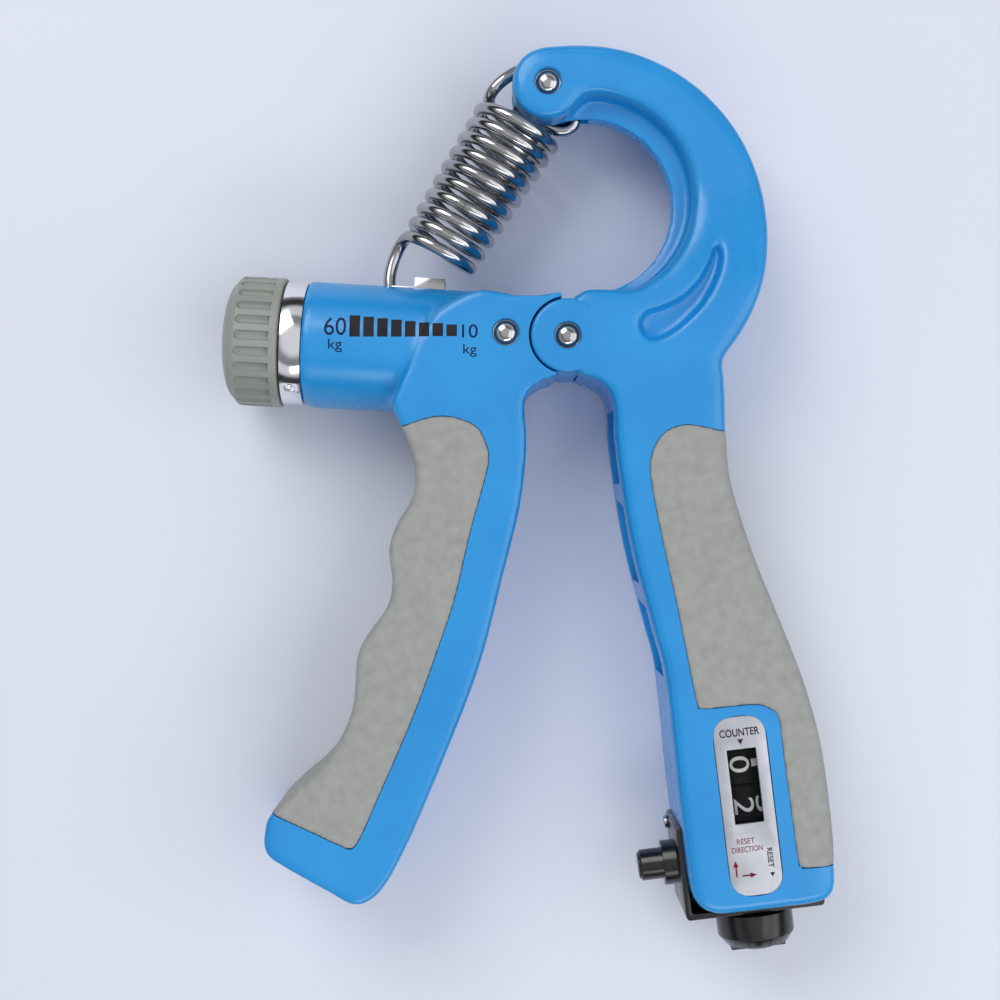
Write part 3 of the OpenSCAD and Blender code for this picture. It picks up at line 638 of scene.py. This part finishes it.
def loop_spot_at(s, shift, a):
    turn = math.radians(a)
    return Vector((s - loop_r * math.sin(turn), loop_r * math.cos(turn) + shift, 0))


def wire_spot(a):
    if a < lower_turn / 2:
        share = gentle((a + 180 + blend_turn) / (2 * blend_turn))
        return loop_spot_at(loop_high, -0.5, a).lerp(coil_spot(a), share)
    share = gentle((a - lower_turn - 180 + blend_turn) / (2 * blend_turn))
    return coil_spot(a).lerp(loop_spot_at(loop_low, 0, a), share)


def wire_piece(name, spots, where, radius):
    line = bpy.data.curves.new(name, "CURVE")
    line.dimensions = "3D"
    line.bevel_depth = radius * mm
    line.bevel_resolution = 5
    line.use_fill_caps = True
    spline = line.splines.new("POLY")
    spline.points.add(len(spots) - 1)
    for point, spot in zip(spline.points, spots):
        point.co = (*(where @ spot), 1)
    drawn = bpy.data.objects.new(name + "_line", line)
    bpy.context.scene.collection.objects.link(drawn)
    bpy.context.view_layer.update()
    mesh = bpy.data.meshes.new_from_object(drawn.evaluated_get(bpy.context.evaluated_depsgraph_get()))
    bpy.data.objects.remove(drawn)
    bm = bmesh.new()
    bm.from_mesh(mesh)
    bpy.data.meshes.remove(mesh)
    bmesh.ops.recalc_face_normals(bm, faces=bm.faces)
    return piece(name, bm, 50)


hook_end = smooth_line([(4.9, -3.5), (5, 1), (4.9, 4.4), (4.1, 6.4), (2.4, 7.2), (0.6, 6.4)], 4)
wire = [p.to_3d() for p in hook_end] + [wire_spot(a) for a in range(-315, lower_turn + 326, 6)]
split = len(hook_end) + (2250 + 315) // 6
upper_wire = wire_piece("load_spring_upper", wire[:split + 1], spring, wire_r)
lower_wire = wire_piece("load_spring_lower", wire[split:], spring, wire_r)


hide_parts("spring_upper", "spring_middle")
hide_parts("spring_lower")
print("spring points:", len(wire))

# %% [markdown]
# The plunger is pushed out by a small open coil round its stem. The coil can't stay its full length when
# the plunger goes in.

# %% Plunger spring
press_y = -10.9
small_coil = [Vector((-9.7 + 6.6 * a / 2160, press_y + 1.9 * math.cos(math.radians(a)),
                      middle + 1.9 * math.sin(math.radians(a)))) for a in range(0, 2161, 18)]
return_spring = wire_piece("plunger_return_spring", small_coil, counter, 0.25)
fitted(return_spring, "right_handle", "steel", "plunger_spring")
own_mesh(return_spring)
print("plunger spring points:", len(small_coil))

# %% [markdown]
# The print is thin ink on curved plastic. Each letter is drawn as a solid standing through the surface
# and cut by a copy of the handle grown by a few hundredths of a millimetre, so the ink follows the curve.

# %% Print on the handles
def add_letters(bm, text, spot, height, width=None, where=flat, turn=0, low=20.0, high=26.0,
                bold=0.0):
    """Stand the text on its spot, scaled to a height and, where given, a width."""
    line = bpy.data.curves.new("letters", "FONT")
    line.body = text
    line.offset = bold
    drawn = bpy.data.objects.new("letters", line)
    bpy.context.scene.collection.objects.link(drawn)
    bpy.context.view_layer.update()
    mesh = bpy.data.meshes.new_from_object(drawn.evaluated_get(bpy.context.evaluated_depsgraph_get()))
    bpy.data.objects.remove(drawn)
    part = bmesh.new()
    part.from_mesh(mesh)
    bmesh.ops.remove_doubles(part, verts=part.verts, dist=1e-5)
    xs = [v.co.x for v in part.verts]
    ys = [v.co.y for v in part.verts]
    centre = Vector(((max(xs) + min(xs)) / 2, (max(ys) + min(ys)) / 2))
    grow_y = height / (max(ys) - min(ys))
    grow_x = width / (max(xs) - min(xs)) if width else grow_y
    here = where @ Matrix.Translation((spot[0], spot[1], 0)) @ Matrix.Rotation(math.radians(turn), 4, "Z")
    for v in part.verts:
        v.co = Vector(((v.co.x - centre.x) * grow_x, (v.co.y - centre.y) * grow_y, low))
    tops = bmesh.ops.extrude_face_region(part, geom=part.faces[:])
    for v in tops["geom"]:
        if isinstance(v, bmesh.types.BMVert):
            v.co.z = high
    bmesh.ops.recalc_face_normals(part, faces=part.faces)
    bmesh.ops.transform(part, matrix=here, verts=part.verts)
    part.to_mesh(mesh)
    part.free()
    bm.from_mesh(mesh)
    bpy.data.meshes.remove(mesh)


def ink_on(shell, name, build, body, slot):
    """Print that follows a handle's surface."""
    bm = bmesh.new()
    build(bm)
    ink = piece(name, bm)
    grown = copy_of(shell, name + "_ground")
    swell(grown, 0.035)
    cut(ink, grown, "INTERSECT")
    shade(ink, 60)
    return fitted(ink, body, slot)


def scale_bars(bm):
    wide, foot = 1.81, -0.226
    for k in range(8):
        x = -37.72 + 2.4 * k
        tall = 3.78 + (2.0 - 3.78) * k / 7
        add_box(bm, (x, foot, 20), (x + wide, foot + tall, 26))


def scale_figures(bm):
    add_letters(bm, "60", (-40.19, 1.6), 3.1, 3.8)
    add_letters(bm, "kg", (-40.19, -1.75), 2.3, 2.4)
    add_letters(bm, "10", (-16.88, 0.65), 2.3, 2.7)
    add_letters(bm, "kg", (-16.88, -2.7), 2.2, 2.3)


bars = ink_on(left_shell, "scale_bars", scale_bars, "left_handle", "black_plastic")
figures = ink_on(left_shell, "scale_figures", scale_figures, "left_handle", "black_plastic")
print("print:", len(bars.data.polygons), len(figures.data.polygons))

# %% [markdown]
# The label is flat, so its print needs no cutting. The words and arrows are thin solids that start just
# under the plate's face and end a few hundredths of a millimetre above it.

# %% Print on the label
plate_top = thickness - 0.1


def label_words(bm):
    spots = [("COUNTER", (0, 12.75), 1.35, 6.9, 0), ("RESET", (2.8, -9.3), 0.95, 3.4, -90)]
    for text, spot, high, wide, turn in spots:
        add_letters(bm, text, spot, high, wide, counter, turn, plate_top - 0.05, plate_top + 0.03, 0.015)
    for x, y, r in ((0, 11.25, 0.62), (2.85, -12.1, 0.5)):
        add_prism(bm, arc((x, y), r, 30, 270, 2), plate_top - 0.05, plate_top + 0.03, counter)


def red_words(bm):
    add_letters(bm, "RESET", (-1.1, -6.0), 0.95, 3.1, counter, 0, plate_top - 0.05, plate_top + 0.03)
    add_letters(bm, "DIRECTION", (-1.0, -7.4), 0.95, 5.3, counter, 0, plate_top - 0.05, plate_top + 0.03)


def arrow(bm, x, y, length, turn):
    here = counter @ Matrix.Translation((x, y, 0)) @ Matrix.Rotation(math.radians(turn), 4, "Z")
    half = length / 2
    tip = [(-half, -0.13), (half - 1.1, -0.13), (half - 1.1, -0.45), (half, 0), (half - 1.1, 0.45),
           (half - 1.1, 0.13), (-half, 0.13)]
    add_prism(bm, tip, plate_top - 0.05, plate_top + 0.03, here)


def label_arrows(bm):
    arrow(bm, -3.3, -10.6, 2.8, 90)
    arrow(bm, -1.1, -11.9, 2.5, 0)


prints = []
for name, build in (("label_words", label_words), ("label_red_words", red_words),
                    ("label_arrows", label_arrows)):
    bm = bmesh.new()
    build(bm)
    prints.append(fitted(piece(name, bm), "right_handle", "black_plastic"))
print("label prints:", len(prints))

# %% [markdown]
# Ten white figures stand round each number wheel, one every 36 degrees. The wheels rest a little short of
# centre, so the edge of the next figure shows at one side of the window.

# %% Figures on the wheels
wheel_r, axle_z, figure_high, short_of = 6.1, 14.9, 3.4, -2


def wheel_figures(name, y, first, body):
    axle = counter @ Matrix.Translation((0, y, axle_z))
    bm = bmesh.new()
    for k in range(10):
        figure = (first + k) % 10
        here = axle @ Matrix.Rotation(math.radians(short_of + 36 * k), 4, "Y")
        add_letters(bm, str(figure), (0, 0), figure_high, 1.3 if figure == 1 else 2.8, here, -90,
                    wheel_r - 0.5, wheel_r + 0.8)
    ink = piece(name, bm)
    band = turned(name + "_band", [(0, -3.2), (wheel_r + 0.03, -3.2), (wheel_r + 0.03, 3.2), (0, 3.2)],
                  axle @ Matrix.Rotation(math.radians(90), 4, "X"), 180)
    cut(ink, band, "INTERSECT")
    shade(ink, 60)
    return fitted(ink, body, "label_silver")


unit_figures = wheel_figures("units_figures", -0.6, 2, "units_wheel")
ten_figures = wheel_figures("tens_figures", 6.7, 0, "tens_wheel")
print("figures:", len(unit_figures.data.polygons), len(ten_figures.data.polygons))

# %% [markdown]
# Finishes come from a few shared shader groups. Each takes a place on the surface and gives a tone for
# colour changes, a wear value for roughness and a height for the bump. Moulded plastic has broad soft
# changes and very fine grain, soft rubber is mottled and has shallow dimples whose hollows also get
# painted shade in the tone, and metal is finely brushed.

# %% Shared shader groups
def group_of(name):
    group = bpy.data.node_groups.new(name, "ShaderNodeTree")
    group.interface.new_socket("Vector", in_out="INPUT", socket_type="NodeSocketVector")
    group.interface.new_socket("Scale", in_out="INPUT", socket_type="NodeSocketFloat")
    for label in ("Tone", "Wear", "Height"):
        group.interface.new_socket(label, in_out="OUTPUT", socket_type="NodeSocketFloat")
    return group, group.nodes.new("NodeGroupInput"), group.nodes.new("NodeGroupOutput")


def noise(group, source, share, detail=3, stretch=None):
    """A noise whose scale is a share of the group's own scale."""
    times = group.nodes.new("ShaderNodeMath")
    times.operation = "MULTIPLY"
    times.inputs[1].default_value = share
    made = group.nodes.new("ShaderNodeTexNoise")
    made.inputs["Detail"].default_value = detail
    group.links.new(source.outputs["Scale"], times.inputs[0])
    group.links.new(times.outputs[0], made.inputs["Scale"])
    place_on = source.outputs["Vector"]
    if stretch:
        longer = group.nodes.new("ShaderNodeVectorMath")
        longer.operation = "MULTIPLY"
        longer.inputs[1].default_value = stretch
        group.links.new(place_on, longer.inputs[0])
        place_on = longer.outputs[0]
    group.links.new(place_on, made.inputs["Vector"])
    return made.outputs[0]


def added(group, a, b, share):
    made = group.nodes.new("ShaderNodeMath")
    made.operation = "MULTIPLY_ADD"
    made.inputs[1].default_value = share
    group.links.new(b, made.inputs[0])
    group.links.new(a, made.inputs[2])
    return made.outputs[0]


def moulded_group():
    group, source, out = group_of("moulded")
    group.links.new(noise(group, source, 0.06), out.inputs["Tone"])
    group.links.new(noise(group, source, 0.5, 5), out.inputs["Wear"])
    grain = noise(group, source, 3, 4)
    group.links.new(added(group, grain, noise(group, source, 0.12, 1), 1.5), out.inputs["Height"])
    return group


def rubber_group():
    group, source, out = group_of("soft_rubber")
    cells = group.nodes.new("ShaderNodeTexVoronoi")
    cells.feature = "SMOOTH_F1"
    group.links.new(source.outputs["Vector"], cells.inputs["Vector"])
    group.links.new(source.outputs["Scale"], cells.inputs["Scale"])
    wide = group.nodes.new("ShaderNodeMath")
    wide.operation = "MULTIPLY"
    wide.inputs[1].default_value = 0.2
    group.links.new(source.outputs["Scale"], wide.inputs[0])
    dimples = group.nodes.new("ShaderNodeTexVoronoi")
    group.links.new(source.outputs["Vector"], dimples.inputs["Vector"])
    group.links.new(wide.outputs[0], dimples.inputs["Scale"])
    dimple_depth_and_shade = group.nodes.new("ShaderNodeMath")
    dimple_depth_and_shade.operation = "MULTIPLY"
    dimple_depth_and_shade.use_clamp = True
    dimple_depth_and_shade.inputs[1].default_value = 4
    group.links.new(dimples.outputs["Distance"], dimple_depth_and_shade.inputs[0])
    spots = noise(group, source, 0.5, 3)
    # The dimple mask also lowers the tone, so the hollow of each dimple is darkened by painted shade.
    group.links.new(added(group, spots, dimple_depth_and_shade.outputs[0], 0.3), out.inputs["Tone"])
    group.links.new(noise(group, source, 0.4, 4), out.inputs["Wear"])
    fine = added(group, noise(group, source, 2.5, 4), cells.outputs["Distance"], 0.8)
    group.links.new(added(group, fine, dimple_depth_and_shade.outputs[0], 1.2), out.inputs["Height"])
    return group


def metal_group():
    group, source, out = group_of("worked_metal")
    group.links.new(noise(group, source, 0.1), out.inputs["Tone"])
    group.links.new(noise(group, source, 1, 5), out.inputs["Wear"])
    group.links.new(noise(group, source, 0.7, 4, (1, 1, 9)), out.inputs["Height"])
    return group


groups = {"moulded": moulded_group(), "rubber": rubber_group(), "metal": metal_group()}
print("shader groups:", len(groups))

# %% [markdown]
# One function makes every finish. It lays a shader group over the piece, mixes two close colours by the
# tone, sets the roughness by the wear and feeds the height to a bump. Only the numbers differ.

# %% Materials
def finish(name, kind, dark, light, rough, scale=900, metallic=0.0, coat=0.0, bump=0.15, depth=0.03):
    """A finish between two colours, with roughness between two values and a bump in millimetres."""
    made = bpy.data.materials.new(name)
    made.use_nodes = True
    tree = made.node_tree
    shader = tree.nodes["Principled BSDF"]
    coords = tree.nodes.new("ShaderNodeTexCoord")
    effect = tree.nodes.new("ShaderNodeGroup")
    effect.node_tree = groups[kind]
    effect.inputs["Scale"].default_value = scale
    tree.links.new(coords.outputs["Object"], effect.inputs["Vector"])
    tone = tree.nodes.new("ShaderNodeMapRange")
    tone.inputs["From Min"].default_value = 0.35
    tone.inputs["From Max"].default_value = 0.65 if kind != "rubber" else 1.0
    tree.links.new(effect.outputs["Tone"], tone.inputs["Value"])
    blend = tree.nodes.new("ShaderNodeMix")
    blend.data_type = "RGBA"
    blend.inputs[6].default_value = (*dark, 1)
    blend.inputs[7].default_value = (*light, 1)
    tree.links.new(tone.outputs["Result"], blend.inputs[0])
    tree.links.new(blend.outputs[2], shader.inputs["Base Color"])
    wear = tree.nodes.new("ShaderNodeMapRange")
    wear.inputs["From Min"].default_value = 0.3
    wear.inputs["From Max"].default_value = 0.7
    wear.inputs["To Min"].default_value = rough[0]
    wear.inputs["To Max"].default_value = rough[1]
    tree.links.new(effect.outputs["Wear"], wear.inputs["Value"])
    tree.links.new(wear.outputs["Result"], shader.inputs["Roughness"])
    dents = tree.nodes.new("ShaderNodeBump")
    dents.inputs["Strength"].default_value = bump
    dents.inputs["Distance"].default_value = depth * mm
    tree.links.new(effect.outputs["Height"], dents.inputs["Height"])
    tree.links.new(dents.outputs["Normal"], shader.inputs["Normal"])
    shader.inputs["Metallic"].default_value = metallic
    shader.inputs["Coat Weight"].default_value = coat
    shader.inputs["Coat Roughness"].default_value = 0.12
    return made


blue = finish("blue_plastic", "moulded", (0.009, 0.262, 0.655), (0.014, 0.30, 0.71),
              (0.24, 0.36), 900, 0, 0.15,
              bump=0.06)
grey_soft = finish("grey_soft_grip", "rubber", (0.265, 0.275, 0.262), (0.345, 0.357, 0.34),
                   (0.62, 0.85), 1100,
                   bump=0.45, depth=0.12)
grey_hard = finish("grey_plastic", "moulded", (0.27, 0.29, 0.265), (0.33, 0.35, 0.32),
                   (0.38, 0.5), 1200, bump=0.2)
chrome = finish("chrome", "metal", (0.78, 0.79, 0.82), (0.9, 0.9, 0.92), (0.06, 0.14), 500, 1.0, bump=0.04)
dark_chrome = finish("spring_chrome", "metal", (0.36, 0.36, 0.37), (0.5, 0.5, 0.51),
                     (0.1, 0.18), 700, 1.0, bump=0.05)
steel = finish("steel", "metal", (0.42, 0.42, 0.44), (0.58, 0.58, 0.6), (0.22, 0.38), 1500, 1.0, bump=0.12)
brass = finish("brass", "metal", (0.55, 0.38, 0.14), (0.7, 0.5, 0.2), (0.22, 0.36), 1500, 1.0, bump=0.1)
black = finish("black_plastic", "moulded", (0.003, 0.003, 0.004), (0.007, 0.007, 0.008),
               (0.2, 0.3), 900, 0, 0.12)
dull_black = finish("frame_black", "moulded", (0.012, 0.012, 0.014), (0.03, 0.03, 0.033), (0.45, 0.6), 1500)
wheel_black = finish("wheel_black", "moulded", (0.002, 0.002, 0.003), (0.004, 0.004, 0.005), (0.5, 0.6), 1500)
wheel_black.node_tree.nodes["Principled BSDF"].inputs["Specular IOR Level"].default_value = 0.15
silver = finish("label_silver", "metal", (0.44, 0.455, 0.5), (0.52, 0.535, 0.58),
                (0.34, 0.44), 2500, 0.55, bump=0.08)
white_ink = finish("white_ink", "moulded", (0.76, 0.76, 0.74), (0.86, 0.86, 0.84),
                   (0.5, 0.65), 2500, bump=0.1)
dark_ink = finish("dark_ink", "moulded", (0.016, 0.014, 0.017), (0.03, 0.026, 0.03),
                  (0.45, 0.6), 2500, bump=0.1)
navy_ink = finish("navy_ink", "moulded", (0.005, 0.012, 0.045), (0.009, 0.02, 0.07),
                  (0.45, 0.6), 2500, bump=0.1)
red_ink = finish("red_ink", "moulded", (0.13, 0.004, 0.014), (0.18, 0.008, 0.02), (0.45, 0.6), 2500, bump=0.1)
for ink in (dark_ink, navy_ink, red_ink):
    ink.node_tree.nodes["Principled BSDF"].inputs["Specular IOR Level"].default_value = 0.12
lens = finish("clear_lens", "moulded", (0.02, 0.02, 0.022), (0.03, 0.03, 0.032), (0.04, 0.09), 900, bump=0.03)
lens.node_tree.nodes["Principled BSDF"].inputs["Alpha"].default_value = 0.06


def wear_it(made, material):
    made.data.materials.clear()
    made.data.materials.append(material)


looks = {blue: [right_shell, left_shell], grey_soft: [right_grip, left_grip], grey_hard: [knob, knob_dome],
         chrome: [collar],
         dark_chrome: rivets + [upper_wire, lower_wire, nut],
         steel: [screws, thrust, knob_screw, return_spring],
         black: [cover, plunger, reset_knob], silver: [plate], wheel_black: [units, tens],
         white_ink: [unit_figures, ten_figures], dark_ink: [bars, prints[0]], navy_ink: [figures],
         red_ink: prints[1:]}
for material, pieces in looks.items():
    for made in pieces:
        wear_it(made, material)
left_as_packed = {"counter_frame": dull_black, "window_lens": lens, "detent_spring": steel,
                  "drive_pawl": dull_black, "hook_pin": steel, "pivot_bush": brass, "spring_eye_bush": brass,
                  "screw_bearing": steel, "tension_screw": steel, "reset_arbor": steel, "reset_screw": steel}
for node, material in left_as_packed.items():
    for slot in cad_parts[node].material_slots:
        slot.material = material
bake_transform(upper_wire)
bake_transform(lower_wire)
print("materials:", len(bpy.data.materials))

# %% [markdown]
# The object lies on a pale lavender floor. A big soft light from the upper left gives the broad
# highlights, one from the right fills the shadows, and a low one picks out the near edges. A banded sky
# gives the chrome something to reflect.

# %% Floor, light and camera
bm = bmesh.new()
add_prism(bm, [(-900, -900), (900, -900), (900, 900), (-900, 900)], -4, -0.05)
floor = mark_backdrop(piece("floor", bm)) or bpy.data.objects["floor"]
wear_it(floor, finish("floor_paper", "moulded", (0.70, 0.73, 0.83), (0.72, 0.75, 0.85), (0.75, 0.85), 60,
                      bump=0.02))

world = bpy.data.worlds.new("studio")
world.use_nodes = True
bpy.context.scene.world = world
tree = world.node_tree
backdrop = tree.nodes["Background"]
coords = tree.nodes.new("ShaderNodeTexCoord")
split_up = tree.nodes.new("ShaderNodeSeparateXYZ")
ramp = tree.nodes.new("ShaderNodeValToRGB")
tree.links.new(coords.outputs["Generated"], split_up.inputs[0])
tree.links.new(split_up.outputs["Z"], ramp.inputs[0])
tree.links.new(ramp.outputs[0], backdrop.inputs["Color"])
bands = [(0.0, 0.35), (0.12, 0.05), (0.3, 0.05), (0.42, 0.85), (0.62, 0.95), (0.7, 0.3), (0.82, 0.35),
         (0.92, 1.0)]
while len(ramp.color_ramp.elements) < len(bands):
    ramp.color_ramp.elements.new(1.0)
for stop, (at_z, shade_of) in zip(ramp.color_ramp.elements, bands):
    stop.position = at_z
    stop.color = (shade_of, shade_of * 1.01, shade_of * 1.05, 1)
backdrop.inputs["Strength"].default_value = 0.7


def soft_light(name, spot, size, watts, aim=(-0.01, -0.03, 0.01)):
    data = bpy.data.lights.new(name, "AREA")
    data.shape = "RECTANGLE"
    data.size, data.size_y = size
    data.energy = watts
    lamp = bpy.data.objects.new(name, data)
    bpy.context.scene.collection.objects.link(lamp)
    lamp.location = spot
    lamp.rotation_euler = (Vector(aim) - Vector(spot)).to_track_quat("-Z", "Y").to_euler()


soft_light("key_light", (-0.32, 0.42, 0.55), (0.45, 0.45), 2.5)
soft_light("fill_light", (0.45, -0.1, 0.5), (0.6, 0.6), 1.5)
soft_light("edge_light", (0.1, -0.5, 0.4), (0.5, 0.15), 0.8)

data = bpy.data.cameras.new("camera")
data.sensor_width = 36
data.lens = 55
data.clip_start = 0.01
camera = bpy.data.objects.new("camera", data)
camera.location = (-0.0117, -0.02844, 0.287)
bpy.context.scene.collection.objects.link(camera)
bpy.context.scene.camera = camera
bpy.context.scene.view_settings.view_transform = "Standard"
